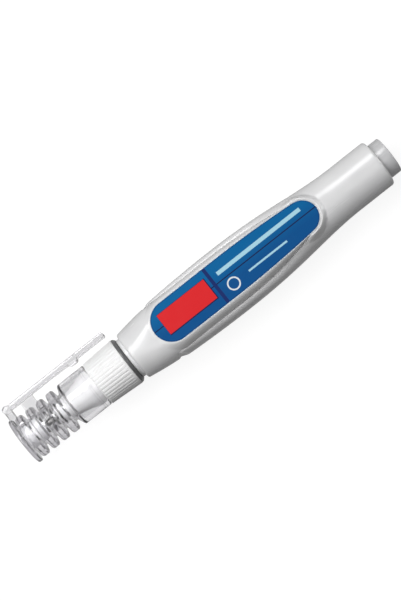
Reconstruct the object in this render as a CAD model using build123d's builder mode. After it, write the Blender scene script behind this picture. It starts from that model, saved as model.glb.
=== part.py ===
from build123d import *
import os
from math import asin, cos, degrees, pi, radians, tan

# Correction pen, all sizes in millimetres.
# The pen lies on its back label panel. +X runs along the pen towards the tail, +Y towards the
# clip of the cap and +Z up through the front label. The origin is on the resting plane, under
# the middle of the label. Radii and widths are measured from the pen's own axis.

os.makedirs("parts", exist_ok=True)

# Driving sizes of the label panels
label_length = 61.0
label_width = 13.0
label_taper = 1.25          # how much the rear end's radius is smaller than the front end's
label_parallel = 26.65      # from the front end of the label to where its sides start to taper
label_thickness = 0.12      # also the depth of its recess, so that it lies flush
label_gap = 0.06            # gap round the film in its recess
panel_rim = 0.75
panel_spacing = 17.8        # between the front and the back panel
panel_draft = 18            # slope of a panel's sides, in degrees
panel_depth = 5.9           # how far a panel's sides reach down into the body

# Driving sizes of the barrel
wall = 1.2
side_slope = 1.4            # width of the slope between a panel's rim and a side band
band_width = 1.85           # how wide a side band looks from the front, at the widest place
band_step = 0.55            # how far a band stands out from the body
band_lead = 1.85            # from the front end of the label to the front end of the bands
band_swell = 0.85           # how much narrower the bands are at their front end
band_end_gap = 0.35         # from the rear rim of the panel to where the two band edges meet
band_delay = 1.25           # power that holds back the bands' taper behind the waist
shoulder_length = 9.65      # from the front of the shoulder to the front end of the label
shoulder_taper = 1.95
shoulder_power = 3          # power of the curve from the waist to the shoulder
shoulder_chamfer = 0.4
notch_radius = 1.1
notch_depth = 0.65
tail_length = 23.6          # from the rear end of the label to the tail's end face
tail_blend = 10.6           # from the rear end of the label to where the tail is round
tail_bore_diameter = 10.8
tail_land = 1.78            # ring of the tail's end face left round the plug
tail_fillet = 0.9

# Driving sizes of the tail plug
plug_lip = 0.67
plug_length = 4.0
plug_chamfer = 0.35
plug_spigot_length = 7.5
plug_wall = 1.1

# Driving sizes of the neck and the nozzle's collar
neck_bore_diameter = 9.2
neck_wall = 1.5
neck_ring_length = 1.1
neck_ring_height = 0.75
snap_height = 0.3
snap_width = 1.0
snap_offset = 2.6           # from the collar's rear face to the middle of the snap bead
collar_ring_length = 1.2    # dark ring between the collar and the neck's own ring
collar_ring_setback = 0.1   # how much smaller its radius is than the collar's rear edge
collar_ring_chamfer = 0.75
collar_length = 11.1
collar_wall = 1.85
collar_draft = 0.65         # how much smaller the collar's radius is at the front
collar_step = 1.55          # from the collar's front edge in to the seat of the cap
collar_chamfer = 0.25
rib_count = 40
rib_length = 10.3
rib_depth = 0.28
rib_groove_radius = 0.38
seat_length = 3.3
bell_length = 10.5          # from the nose to the seat of the cap
nose_length = 2.0           # straight part of the bell, from the nose
bell_slope = 0.55           # rise of the bell's radius where it meets the seat
nose_wall = 1.25
nose_fillet = 0.4
gasket_thickness = 0.8
gasket_overlap = 0.9        # width of the gasket's ring

# Driving sizes of the valve
tip_length = 5.9
tip_diameter = 2.2
tip_front_diameter = 1.5
tip_cone_length = 1.3
tip_flange_height = 0.35
tip_flange_length = 0.5
tip_stem_diameter = 3.2
tip_stem_length = 5.5
tip_socket_wall = 1.45
orifice_length = 0.9
needle_diameter = 1.0
needle_pin_diameter = 0.56
needle_travel = 0.8
needle_stand = 0.1          # what still stands out of the tip when the needle is pressed in
needle_grip = 2.8           # length of the needle held in the plunger
plunger_diameter = 4.2
plunger_length = 3.4
plunger_gap = 0.6           # from the front wall of the chamber to the plunger at rest
flute_count = 3
flute_diameter = 1.4
spring_length = 5.0
spring_turns = 6
spring_wire_diameter = 0.4
spring_seat_length = 2.0
spring_seat_lip = 0.6
spring_seat_land = 0.6
seat_hole_count = 4
seat_hole_diameter = 1.0
ball_diameter = 5.0

# Driving sizes of the cap
cap_end_wall = 2.5
core_wall = 0.9
skirt_wall = 1.38
skirt_front_wall = 0.6
skirt_lag = 1.3             # from where the bell flares to the step in the cap's bore
skirt_slant = 1.1           # length of the slanted front shoulder of the skirt
snap_groove_depth = 0.25
snap_groove_width = 0.7
snap_groove_offset = 1.4
flange_height = 3.0
flange_length = 1.3
flange_fillet = 0.45
fin_count = 4
fin_height = 2.5
fin_gap = 0.56              # between the roots of two fins
fin_draft = 0.5             # how much a fin's side leans in from root to tip
fin_fillet = 0.65
fin_front_gap = 0.35        # between the flange and the root of the first fin
seal_thickness = 4.7
clip_length = 38.8
clip_width = 4.6
clip_thickness = 1.7
clip_gap = 1.98             # between the collar and the clip
clip_end_fillet = 0.7
clip_root_radius = 1.3      # of the rounded front end of the clip
clip_root_length = 2.2
clip_root_setback = 0.45    # from the cap's end face to the front of the clip
clip_web_start = 6.1
clip_web_length = 4.5
clip_web_width = 2.2
clip_bead_length = 3.4
clip_bead_radius = 1.2      # of the bead's two rounded ends
clip_bead_height = 0.85
clip_bead_place = 26.4      # from the cap's end face to the middle of the bead

# Points that a curved side view passes through, from end to end
curve_steps = 8

# Clearances
slide_fit = 0.08            # all round a piece that slides in another
press_fit = 0.02            # all round a piece that is pressed into another
cap_fit = 0.1               # between the cap's skirt and its seat
cap_nose_gap = 0.4          # between the nozzle's nose and the cap
cap_rear_gap = 0.2          # between the cap's skirt and the collar
seal_gap = 0.4              # between the cap's seal and the needle
rest_gap = 0.05             # between the ball or the spring and what it lies on

# Places along the pen, worked out from the middle of the label
label_front = -label_length / 2
label_rear = label_length / 2
front_radius = label_width / 2
rear_radius = front_radius - label_taper
front_centre = label_front + front_radius
rear_centre = label_rear - rear_radius
waist = label_front + label_parallel
panel_front = label_front - panel_rim
panel_rear = label_rear + panel_rim
band_front = label_front + band_lead
band_end = panel_rear + band_end_gap
shoulder_front = label_front - shoulder_length
tail_start = label_rear + tail_blend
tail_end = label_rear + tail_length
collar_ring_rear = shoulder_front - neck_ring_length
collar_rear = collar_ring_rear - collar_ring_length
collar_front = collar_rear - collar_length
seat_front = collar_front - seat_length
nose_front = seat_front - bell_length
nose_rear = nose_front + nose_length
chamber_front = nose_front + tip_stem_length
plunger_front = chamber_front + plunger_gap
plunger_rear = plunger_front + plunger_length
spring_rear = plunger_rear + spring_length
seat_rear = spring_rear + spring_seat_length
gasket_front = seat_rear + spring_seat_land
neck_front = gasket_front + gasket_thickness
tip_front = nose_front - tip_length
needle_front = tip_front - needle_travel - needle_stand
seal_face = needle_front - seal_gap
cap_bore_end = seal_face - seal_thickness
cap_end = cap_bore_end - cap_end_wall
skirt_rear = collar_front - cap_rear_gap
cap_step = nose_rear + skirt_lag
skirt_front = cap_step - skirt_front_wall

# Radii and half widths, worked out from the middle of the pen outwards
panel_height = panel_spacing / 2
axis_height = panel_height
facet_half = front_radius + panel_rim + side_slope
band_half = facet_half + band_width
body_half = band_half - band_step
tail_bore_radius = tail_bore_diameter / 2
plug_radius = tail_bore_radius + plug_lip
tail_radius = plug_radius + tail_land
neck_bore_radius = neck_bore_diameter / 2
neck_radius = neck_bore_radius + neck_wall
neck_ring_radius = neck_radius + neck_ring_height
collar_bore_radius = neck_radius + press_fit
collar_rear_radius = collar_bore_radius + collar_wall
collar_front_radius = collar_rear_radius - collar_draft
seat_radius = collar_front_radius - collar_step
tip_stem_radius = tip_stem_diameter / 2
tip_bore_radius = needle_diameter / 2 + slide_fit
plunger_radius = plunger_diameter / 2
chamber_radius = plunger_radius + slide_fit
nose_radius = chamber_radius + nose_wall
nose_front_radius = tip_stem_radius + tip_socket_wall
seat_pocket_radius = chamber_radius + spring_seat_lip
cap_bore_radius = nose_radius + cap_nose_gap
core_radius = cap_bore_radius + core_wall
core_middle = cap_bore_radius + core_wall / 2
flange_radius = core_radius + flange_height
fin_radius = core_radius + fin_height
skirt_bore_radius = seat_radius + cap_fit
skirt_radius = skirt_bore_radius + skirt_wall
clip_inside = max(skirt_radius, collar_rear_radius) + clip_gap
clip_outside = clip_inside + clip_thickness

pen_axis = Axis((0, 0, axis_height), (1, 0, 0))
side_plane = Plane(origin=(0, 0, axis_height), x_dir=(1, 0, 0), z_dir=(0, -1, 0))
plan_plane = Plane.XY.offset(axis_height)


def cross_plane(x):
    """Plane across the pen at x, with its first direction along +Y and its second along +Z."""
    return Plane(origin=(x, 0, axis_height), x_dir=(0, 1, 0), z_dir=(1, 0, 0))


def ring(x_from, x_to, r_from, r_to, mode=Mode.ADD):
    """Rectangle in a side view, between two places along the pen and two radii."""
    with Locations(((x_from + x_to) / 2, (r_from + r_to) / 2)):
        Rectangle(x_to - x_from, r_to - r_from, mode=mode)


def ease(share):
    """Smooth step: 0 up to a share of 0, 1 from a share of 1, and a half cosine wave between."""
    return (1 - cos(pi * min(max(share, 0), 1))) / 2


def band_width_at(x):
    """Half width over the side bands: a parabola ahead of the waist, and a cosine to the tail."""
    if x < waist:
        return band_half - band_swell * ((waist - x) / (waist - band_front)) ** 2
    share = (x - waist) / (tail_start - waist)
    return tail_radius + (band_half - tail_radius) * (1 - ease(share ** band_delay))


def body_width_at(x):
    """Half width of the body without its bands: a power curve from the shoulder to the waist."""
    if x < waist:
        share = (waist - x) / (waist - shoulder_front)
        return body_half - shoulder_taper * share ** shoulder_power
    return band_width_at(x) - band_step


def turned_under(radius_at, x_from, x_to):
    """Area in a side view between the pen's axis and a curve of radii, ready to be turned."""
    step = (x_to - x_from) / curve_steps
    places = [x_from + i * step for i in range(curve_steps + 1)]
    with BuildLine() as outline:
        curve = Spline(*[(x, radius_at(x)) for x in places])
        Polyline(curve @ 1, (x_to, 0), (x_from, 0), curve @ 0)
    make_face(outline.edges())


def tongue(margin):
    """Outline of the label, grown by a margin: two round ends and sides that bow inwards."""
    front = front_radius + margin
    rear = rear_radius + margin
    reach = rear_centre - waist
    bow = (reach ** 2 + front ** 2 - rear ** 2) / (2 * (front - rear))
    turn = degrees(asin(reach / (bow - rear)))
    with BuildLine() as outline:
        nose = CenterArc((front_centre, 0), front, 180, -90)
        side = Line(nose @ 1, (waist, front))
        taper = JernArc(side @ 1, (1, 0), bow, -turn)
        JernArc(taper @ 1, taper % 1, rear, turn - 90)
        mirror(about=Plane.XZ)
    make_face(outline.edges())


# Barrel: body and bands

with BuildPart() as bands:
    with BuildSketch(side_plane):
        turned_under(band_width_at, band_front, tail_start)
        ring(tail_start, tail_end, 0, tail_radius)
        fillet(vertices().sort_by(Axis.X)[-2:].sort_by(Axis.Y)[-1], tail_fillet)
    revolve(axis=pen_axis)
    with BuildSketch(plan_plane):
        with BuildLine():
            open_end = Line((panel_front, 0), (panel_front, facet_half))
            Line(open_end @ 1, (waist, facet_half))
            EllipticalCenterArc((waist, 0), band_end - waist, facet_half, arc_size=90)
            mirror(about=Plane.XZ)
        make_face()
    extrude(amount=2 * band_half, both=True, mode=Mode.SUBTRACT)

cavity_half_height = panel_height - label_thickness - wall
cavity_front = shoulder_front + wall

with BuildPart() as cavity:
    with BuildSketch(side_plane):
        turned_under(lambda x: body_width_at(x) - wall, cavity_front, tail_start)
    revolve(axis=pen_axis)
    with BuildSketch(Plane.XY.offset(axis_height - cavity_half_height)):
        ring(cavity_front, tail_start, -band_half, band_half)
    extrude(amount=2 * cavity_half_height, mode=Mode.INTERSECT)

# Barrel: one moulding with neck, panels and tail

with BuildPart() as barrel:
    with BuildSketch(side_plane):
        turned_under(body_width_at, shoulder_front, panel_rear)
    revolve(axis=pen_axis)
    chamfer(edges().filter_by(GeomType.CIRCLE).sort_by(Axis.X)[0], shoulder_chamfer)
    with BuildSketch(Plane.XY):
        ring(shoulder_front, panel_rear, -band_half, band_half)
    extrude(amount=panel_spacing, mode=Mode.INTERSECT)
    add(bands.part)
    foot = panel_rim + panel_depth * tan(radians(panel_draft))
    for rim_level, foot_level in (
        (panel_spacing, panel_spacing - panel_depth),
        (0, panel_depth),
    ):
        with BuildSketch(Plane.XY.offset(rim_level)):
            tongue(panel_rim)
        with BuildSketch(Plane.XY.offset(foot_level)):
            tongue(foot)
        loft(ruled=True)
    add(cavity.part, mode=Mode.SUBTRACT)
    with BuildSketch(side_plane):
        ring(neck_front, shoulder_front, 0, neck_radius)
        ring(collar_ring_rear, shoulder_front, 0, neck_ring_radius)
        bead = collar_rear - snap_offset
        with BuildLine():
            Polyline(
                (bead - snap_width, neck_radius),
                (bead, neck_radius + snap_height),
                (bead + snap_width, neck_radius),
                close=True,
            )
        make_face()
    revolve(axis=pen_axis)
    with BuildSketch(side_plane):
        ring(neck_front, waist, 0, neck_bore_radius)
        ring(waist, tail_end, 0, tail_bore_radius)
    revolve(axis=pen_axis, mode=Mode.SUBTRACT)
    notch_side = body_width_at(band_front) - notch_depth + notch_radius
    with BuildSketch(Plane.XY):
        with Locations((band_front, notch_side), (band_front, -notch_side)):
            Circle(notch_radius)
    extrude(amount=panel_spacing, mode=Mode.SUBTRACT)
    for floor in (0, panel_spacing - label_thickness):
        with BuildSketch(Plane.XY.offset(floor)):
            tongue(label_gap)
        extrude(amount=label_thickness, mode=Mode.SUBTRACT)

barrel.part.label = "barrel"
export_step(barrel.part, "parts/barrel.step")

# Labels: films that fill the two recesses, flush with the rims

with BuildPart() as front_label:
    with BuildSketch(Plane.XY.offset(panel_spacing - label_thickness)):
        tongue(0)
    extrude(amount=label_thickness)

front_label.part.label = "front_label"
export_step(front_label.part, "parts/front_label.step")

with BuildPart() as back_label:
    with BuildSketch(Plane.XY):
        tongue(0)
    extrude(amount=label_thickness)

back_label.part.label = "back_label"
export_step(back_label.part, "parts/back_label.step")

# Tail plug: hollow spigot in the tail's bore, and a lip against the end face

with BuildPart() as tail_plug:
    with BuildSketch(side_plane):
        ring(tail_end, tail_end + plug_length, 0, plug_radius)
        chamfer(vertices().sort_by(Axis.X)[-2:].sort_by(Axis.Y)[-1], plug_chamfer)
        spigot_radius = tail_bore_radius - press_fit
        ring(tail_end - plug_spigot_length, tail_end, 0, spigot_radius)
        ring(tail_end - plug_spigot_length, tail_end, 0, spigot_radius - plug_wall, Mode.SUBTRACT)
    revolve(axis=pen_axis)

tail_plug.part.label = "tail_plug"
export_step(tail_plug.part, "parts/tail_plug.step")

# Nozzle: bell, seat of the cap and ribbed collar

with BuildPart() as rib_groove:
    groove_lift = rib_groove_radius - rib_depth
    draft = collar_draft / collar_length
    groove_start = (collar_front, 0, axis_height + collar_front_radius + groove_lift)
    with BuildSketch(Plane(origin=groove_start, x_dir=(0, 1, 0), z_dir=(1, 0, draft))):
        Circle(rib_groove_radius)
    extrude(amount=rib_length)

with BuildPart() as nozzle:
    with BuildSketch(side_plane):
        with BuildLine():
            nose = Line((nose_front, 0), (nose_front, nose_front_radius))
            taper = Line(nose @ 1, (nose_rear, nose_radius))
            flare = Spline(taper @ 1, (seat_front, seat_radius), tangents=(taper % 1, (1, bell_slope)))
            seat = Line(flare @ 1, (collar_front, seat_radius))
            face = Line(seat @ 1, (collar_front, collar_front_radius))
            grip = Line(face @ 1, (collar_rear, collar_rear_radius))
            Polyline(grip @ 1, (collar_rear, 0), nose @ 0)
        make_face()
        rear_corner = vertices().sort_by(Axis.X)[-2:].sort_by(Axis.Y)[-1]
        chamfer(rear_corner, collar_chamfer)
        fillet(vertices().sort_by(Axis.X)[:2].sort_by(Axis.Y)[-1], nose_fillet)
        ring(nose_front, chamber_front, 0, tip_stem_radius + press_fit, Mode.SUBTRACT)
        ring(chamber_front, spring_rear, 0, chamber_radius, Mode.SUBTRACT)
        ring(spring_rear, gasket_front, 0, seat_pocket_radius, Mode.SUBTRACT)
        ring(gasket_front, collar_rear, 0, collar_bore_radius, Mode.SUBTRACT)
        with BuildLine():
            Polyline(
                (bead - snap_width, collar_bore_radius),
                (bead, collar_bore_radius + snap_height),
                (bead + snap_width, collar_bore_radius),
                close=True,
            )
        make_face(mode=Mode.SUBTRACT)
    revolve(axis=pen_axis)
    rib_angles = [360 * i / rib_count for i in range(rib_count)]
    add([rib_groove.part.rotate(pen_axis, angle) for angle in rib_angles], mode=Mode.SUBTRACT)

nozzle.part.label = "nozzle"
export_step(nozzle.part, "parts/nozzle.step")

# Collar ring: dark ring on the neck, behind the collar

with BuildPart() as collar_ring:
    collar_ring_radius = collar_rear_radius - collar_ring_setback
    with BuildSketch(side_plane):
        ring(collar_rear, collar_ring_rear, collar_bore_radius, collar_ring_radius)
        chamfer(vertices().sort_by(Axis.X)[-2:].sort_by(Axis.Y)[-1], collar_ring_chamfer)
    revolve(axis=pen_axis)

collar_ring.part.label = "collar_ring"
export_step(collar_ring.part, "parts/collar_ring.step")

# Neck gasket: flat ring between the nozzle and the end of the neck

with BuildPart() as neck_gasket:
    with BuildSketch(side_plane):
        ring(gasket_front, neck_front, neck_radius - gasket_overlap, neck_radius)
    revolve(axis=pen_axis)

neck_gasket.part.label = "neck_gasket"
export_step(neck_gasket.part, "parts/neck_gasket.step")

# Metal tip: tube with a flange, pressed into the nose

with BuildPart() as metal_tip:
    flange_radius_at_nose = tip_stem_radius + tip_flange_height
    pin_radius = needle_pin_diameter / 2
    with BuildSketch(side_plane):
        with BuildLine():
            Polyline(
                (tip_front, 0),
                (tip_front, tip_front_diameter / 2),
                (tip_front + tip_cone_length, tip_diameter / 2),
                (nose_front - tip_flange_length, tip_diameter / 2),
                (nose_front - tip_flange_length, flange_radius_at_nose),
                (nose_front, flange_radius_at_nose),
                (nose_front, tip_stem_radius),
                (chamber_front, tip_stem_radius),
                (chamber_front, 0),
                close=True,
            )
        make_face()
        ring(tip_front, tip_front + orifice_length, 0, pin_radius + slide_fit, Mode.SUBTRACT)
        ring(tip_front + orifice_length, chamber_front, 0, tip_bore_radius, Mode.SUBTRACT)
    revolve(axis=pen_axis)

metal_tip.part.label = "metal_tip"
export_step(metal_tip.part, "parts/metal_tip.step")

# Valve needle: thin pin through the orifice, thicker shaft behind it

with BuildPart() as valve_needle:
    with BuildSketch(side_plane):
        ring(needle_front, tip_front + orifice_length, 0, pin_radius)
        ring(tip_front + orifice_length, plunger_front + needle_grip, 0, needle_diameter / 2)
    revolve(axis=pen_axis)

valve_needle.part.label = "valve_needle"
export_step(valve_needle.part, "parts/valve_needle.step")

# Needle plunger: holder with flutes that let the fluid past

with BuildPart() as needle_plunger:
    with BuildSketch(cross_plane(plunger_front)):
        Circle(plunger_radius)
        with PolarLocations(plunger_radius, flute_count):
            Circle(flute_diameter / 2, mode=Mode.SUBTRACT)
    extrude(amount=plunger_length)
    with BuildSketch(cross_plane(plunger_front)):
        Circle(needle_diameter / 2 + press_fit)
    extrude(amount=needle_grip, mode=Mode.SUBTRACT)

needle_plunger.part.label = "needle_plunger"
export_step(needle_plunger.part, "parts/needle_plunger.step")

# Valve spring: one wound wire between the plunger and its seat

with BuildPart() as valve_spring:
    wire_radius = spring_wire_diameter / 2
    coil_radius = chamber_radius - slide_fit - wire_radius
    coil_start = plunger_rear + wire_radius + rest_gap
    coil_length = spring_rear - wire_radius - rest_gap - coil_start
    with BuildLine():
        coil = Helix(
            coil_length / spring_turns,
            coil_length,
            coil_radius,
            center=(coil_start, 0, axis_height),
            direction=(1, 0, 0),
        )
    with BuildSketch(Plane(origin=coil @ 0, z_dir=coil % 0)):
        Circle(wire_radius)
    sweep(path=coil, is_frenet=True)

valve_spring.part.label = "valve_spring"
export_step(valve_spring.part, "parts/valve_spring.step")

# Spring seat: disc with holes, pressed into the nozzle from behind

with BuildPart() as spring_seat:
    with BuildSketch(cross_plane(spring_rear)):
        Circle(seat_pocket_radius - press_fit)
        with PolarLocations(coil_radius, seat_hole_count):
            Circle(seat_hole_diameter / 2, mode=Mode.SUBTRACT)
    extrude(amount=spring_seat_length)

spring_seat.part.label = "spring_seat"
export_step(spring_seat.part, "parts/spring_seat.step")

# Mixing ball: loose on the floor of the barrel

with BuildPart() as mixing_ball:
    ball_radius = ball_diameter / 2
    ball_height = axis_height - cavity_half_height + ball_radius + rest_gap
    with Locations((0, 0, ball_height)):
        Sphere(ball_radius)

mixing_ball.part.label = "mixing_ball"
export_step(mixing_ball.part, "parts/mixing_ball.step")

# Cap shell: core with flange and fins, skirt, and the clip on its side

with BuildPart() as cap_shell:
    with BuildSketch(side_plane):
        ring(cap_end, skirt_rear, 0, core_radius)
        ring(cap_end, cap_end + flange_length, 0, flange_radius)
        fillet(vertices().sort_by(Axis.Y)[-2:], flange_fillet)
        with BuildLine():
            Polyline(
                (skirt_front, 0),
                (skirt_front, core_radius),
                (skirt_front + skirt_slant, skirt_radius),
                (skirt_rear, skirt_radius),
                (skirt_rear, 0),
                close=True,
            )
        make_face()
        first_root = cap_end + flange_length + fin_front_gap
        fin_pitch = (skirt_front - first_root) / fin_count
        fin_root = (fin_pitch - fin_gap) / 2
        fin_tip = fin_root - fin_draft
        for i in range(fin_count):
            fin_place = first_root + fin_root + i * fin_pitch
            with BuildLine():
                Polyline(
                    (fin_place - fin_root, core_middle),
                    (fin_place - fin_root, core_radius),
                    (fin_place - fin_tip, fin_radius),
                    (fin_place + fin_tip, fin_radius),
                    (fin_place + fin_root, core_radius),
                    (fin_place + fin_root, core_middle),
                    close=True,
                )
            make_face()
            tips = vertices(Select.LAST).sort_by(Axis.Y)[-2:]
            fillet(tips, fin_fillet)
        ring(cap_bore_end, cap_step, 0, cap_bore_radius, Mode.SUBTRACT)
        with BuildLine():
            Polyline(
                (cap_step, 0),
                (cap_step, cap_bore_radius),
                (cap_step + skirt_slant, skirt_bore_radius),
                (skirt_rear, skirt_bore_radius),
                (skirt_rear, 0),
                close=True,
            )
        make_face(mode=Mode.SUBTRACT)
        groove = skirt_rear - snap_groove_offset
        groove_top = skirt_bore_radius + snap_groove_depth
        ring(groove - snap_groove_width, groove, seat_radius, groove_top, Mode.SUBTRACT)
    revolve(axis=pen_axis)
    clip_middle = (clip_inside + clip_outside) / 2
    clip_root = cap_end + clip_root_setback + clip_root_radius
    with BuildSketch(plan_plane):
        ring(clip_root, cap_end + clip_length, clip_inside, clip_outside)
        fillet(vertices().sort_by(Axis.X)[-2:], clip_end_fillet)
        with Locations((clip_root, clip_middle)):
            Circle(clip_root_radius)
        root_half = clip_root_length / 2
        ring(clip_root - root_half, clip_root + root_half, core_middle, clip_middle)
        bead_centre = clip_inside + clip_bead_radius - clip_bead_height
        with Locations((cap_end + clip_bead_place, bead_centre)):
            SlotOverall(clip_bead_length, 2 * clip_bead_radius)
    extrude(amount=clip_width / 2, both=True)
    with BuildSketch(plan_plane):
        web_start = cap_end + clip_web_start
        ring(web_start, web_start + clip_web_length, core_middle, clip_middle)
    extrude(amount=clip_web_width / 2, both=True)

cap_shell.part.label = "cap_shell"
export_step(cap_shell.part, "parts/cap_shell.step")

# Cap inner seal: plug in the closed end of the cap

with BuildPart() as cap_inner_seal:
    with BuildSketch(side_plane):
        ring(cap_bore_end, seal_face, 0, cap_bore_radius - press_fit)
    revolve(axis=pen_axis)

cap_inner_seal.part.label = "cap_inner_seal"
export_step(cap_inner_seal.part, "parts/cap_inner_seal.step")
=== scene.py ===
# %% [markdown]
# # A correction pen, surface by surface
# The pen has a squeeze barrel with a printed label, a white nozzle with a metal tip and a clear cap with a
# clip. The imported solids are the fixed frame: they say where each piece sits and how it moves. This lesson
# lays finer surfaces over the visible ones, each worked out with numpy, and gives every piece a finish.
# Sizes are in millimetres until a mesh is made.

import bmesh
import bpy
import numpy as np
from mathutils import Matrix, Vector


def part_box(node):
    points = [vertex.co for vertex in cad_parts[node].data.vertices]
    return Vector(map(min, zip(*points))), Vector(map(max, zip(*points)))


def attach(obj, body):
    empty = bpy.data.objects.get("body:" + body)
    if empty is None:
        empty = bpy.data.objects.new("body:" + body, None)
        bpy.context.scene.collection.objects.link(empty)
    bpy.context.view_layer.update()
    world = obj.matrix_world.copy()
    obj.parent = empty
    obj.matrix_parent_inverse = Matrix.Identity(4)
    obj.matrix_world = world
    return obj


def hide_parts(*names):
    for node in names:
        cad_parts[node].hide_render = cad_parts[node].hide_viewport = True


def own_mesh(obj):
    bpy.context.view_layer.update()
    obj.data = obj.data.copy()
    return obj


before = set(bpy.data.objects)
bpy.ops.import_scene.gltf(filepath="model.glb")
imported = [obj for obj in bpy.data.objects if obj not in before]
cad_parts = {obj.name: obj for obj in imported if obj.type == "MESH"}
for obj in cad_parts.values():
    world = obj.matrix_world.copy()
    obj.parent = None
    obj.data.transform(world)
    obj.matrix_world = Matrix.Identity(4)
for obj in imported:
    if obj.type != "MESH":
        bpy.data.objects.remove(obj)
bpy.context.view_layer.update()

MM = 0.001

# %% [markdown]
# ## Places read from the solids
# Every number could be written down here, but then the looks would drift from the solids when a size changes.
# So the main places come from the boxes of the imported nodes, and only what a box can't tell is a number.

# %% Places along the pen and radii
def span(node):
    """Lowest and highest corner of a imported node, in millimetres."""
    low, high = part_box(node)
    return np.array(low) / MM, np.array(high) / MM


label_low, label_high = span("front_label")
nozzle_low, nozzle_high = span("nozzle")
cap_low, cap_high = span("cap_shell")
tip_low, tip_high = span("metal_tip")
spring_low, spring_high = span("valve_spring")
barrel_high, seal_high = span("barrel")[1], span("cap_inner_seal")[1]
plug_high, ring_high = span("tail_plug")[1], span("collar_ring")[1]
band_rise, window_inset, collar_length = 0.55, 0.3, 11.1

axis_z = label_high[2] / 2
panel_half = axis_z
label_front, label_rear = label_low[0], label_high[0]
front_radius = label_high[1]
rear_radius = front_radius - 1.25
front_centre = label_front + front_radius
rear_centre = label_rear - rear_radius
waist = label_front + 26.65
band_front = label_front + 1.85
band_half = barrel_high[1]
facet_half = band_half - 1.85
body_half = band_half - band_rise
window_end = label_rear - window_inset
band_end = label_rear + 1.1
shoulder_front = label_front - 9.65
tail_start = label_rear + 10.6
tail_end = barrel_high[0]
tail_radius = plug_high[1] + 1.78
collar_rear = nozzle_high[0]
collar_front = collar_rear - collar_length
seat_front = collar_front - 3.3
nose_front = nozzle_low[0]
nose_rear = nose_front + 2.0
cap_end = cap_low[0]
print("label", label_front, label_rear, "axis at", axis_z, "pen from", cap_end, "to", plug_high[0])

# %% [markdown]
# ## From numbers to meshes
# Blender's own tools could build these shapes. Here each surface is a grid: one direction runs along the pen or
# along a profile, the other round it. A grid of points is one numpy array, and its faces follow from row and
# column numbers alone.

# %% Grid helpers
def grid_faces(rows, columns, close_rows=False):
    """Quads of a grid stored row by row, whose last column joins its first: the corner (i, j) joins
    (i, j + 1), (i + 1, j + 1) and (i + 1, j). With close_rows the last row joins the first as well."""
    i = np.arange(rows if close_rows else rows - 1)[:, None]
    j = np.arange(columns)[None, :]
    k, n = (j + 1) % columns, (i + 1) % rows
    corners = [i * columns + j, i * columns + k, n * columns + k, n * columns + j]
    return np.stack(np.broadcast_arrays(*corners), axis=-1).reshape(-1, 4)


def shell(rings, close_rows=False):
    """A closed skin through rings of points, an array of rows, columns and xyz. The first and the last ring
    are closed with one flat face each, unless the rows join up."""
    rows, columns = rings.shape[:2]
    faces = grid_faces(rows, columns, close_rows).tolist()
    if not close_rows:
        ends = np.arange(columns)
        faces += [ends.tolist(), (ends + (rows - 1) * columns).tolist()]
    return rings.reshape(-1, 3), faces


def round_axis(x, r, a):
    """Points at places x, radii r and angles a round the pen's axis: (x, r sin a, r cos a)."""
    return np.stack(np.broadcast_arrays(x, r * np.sin(a), axis_z + r * np.cos(a)), axis=-1)


def lifted(flat, z):
    """Points from their x and y and from heights z over the axis."""
    z = np.broadcast_to(axis_z + z, flat.shape[:-1])
    return np.concatenate([flat, z[..., None]], axis=-1)


def turned(profile, columns, close_rows=False):
    """A skin of revolution: each (x, r) of the profile becomes a ring round the axis."""
    x, r = np.asarray(profile, float).T[..., None]
    a = np.linspace(0, 2 * np.pi, columns, endpoint=False)
    return shell(round_axis(x, r, a), close_rows)


def put(name, data):
    """A new object for a mesh, a lamp or a camera, linked into the scene."""
    made = bpy.data.objects.new(name, data)
    bpy.context.scene.collection.objects.link(made)
    return made


def lay_mesh(name, shells, body, stands_for=(), crease=32, values=None, weld=2e-7):
    """Puts skins into one mesh: points in metres, doubles welded, faces turned outwards, smooth between
    creases. The piece rides on a body and stands for the nodes it replaces."""
    starts = np.cumsum([0] + [len(points) for points, _ in shells])
    points = np.concatenate([points for points, _ in shells]) * MM
    faces = [[v + start for v in face] for (_, part), start in zip(shells, starts) for face in part]
    mesh = bpy.data.meshes.new(name)
    mesh.from_pydata(points.tolist(), [], faces)
    for key, value in (values or {}).items():
        mesh.attributes.new(key, "FLOAT", "POINT").data.foreach_set("value", np.ravel(value))
    work = bmesh.new()
    work.from_mesh(mesh)
    bmesh.ops.remove_doubles(work, verts=work.verts, dist=weld)
    bmesh.ops.recalc_face_normals(work, faces=work.faces)
    work.to_mesh(mesh)
    work.free()
    mesh.shade_smooth()
    mesh.set_sharp_from_angle(angle=np.radians(crease))
    piece = put(name, mesh)
    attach(piece, body)
    if stands_for:
        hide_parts(*stands_for)
    print(name, len(mesh.vertices), "points", len(mesh.polygons), "faces")
    return piece


def rounded(points, radius, steps=6):
    """A profile whose inner corners are rounded: each corner gives way to a curve from a point one radius
    before it to a point one radius after it, weighted (1 - t)^2, 2 t (1 - t) and t^2."""
    p = np.asarray(points, float)
    radius = np.broadcast_to(radius, len(p) - 2)[:, None]
    before, corner, after = p[:-2], p[1:-1], p[2:]
    towards = lambda q: (q - corner) / np.linalg.norm(q - corner, axis=1, keepdims=True)
    first, last = corner + radius * towards(before), corner + radius * towards(after)
    t = np.linspace(0, 1, steps)[None, :, None]
    curve = (1 - t) ** 2 * first[:, None] + 2 * t * (1 - t) * corner[:, None] + t ** 2 * last[:, None]
    return np.concatenate([p[:1], curve.reshape(-1, 2), p[-1:]])


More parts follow.
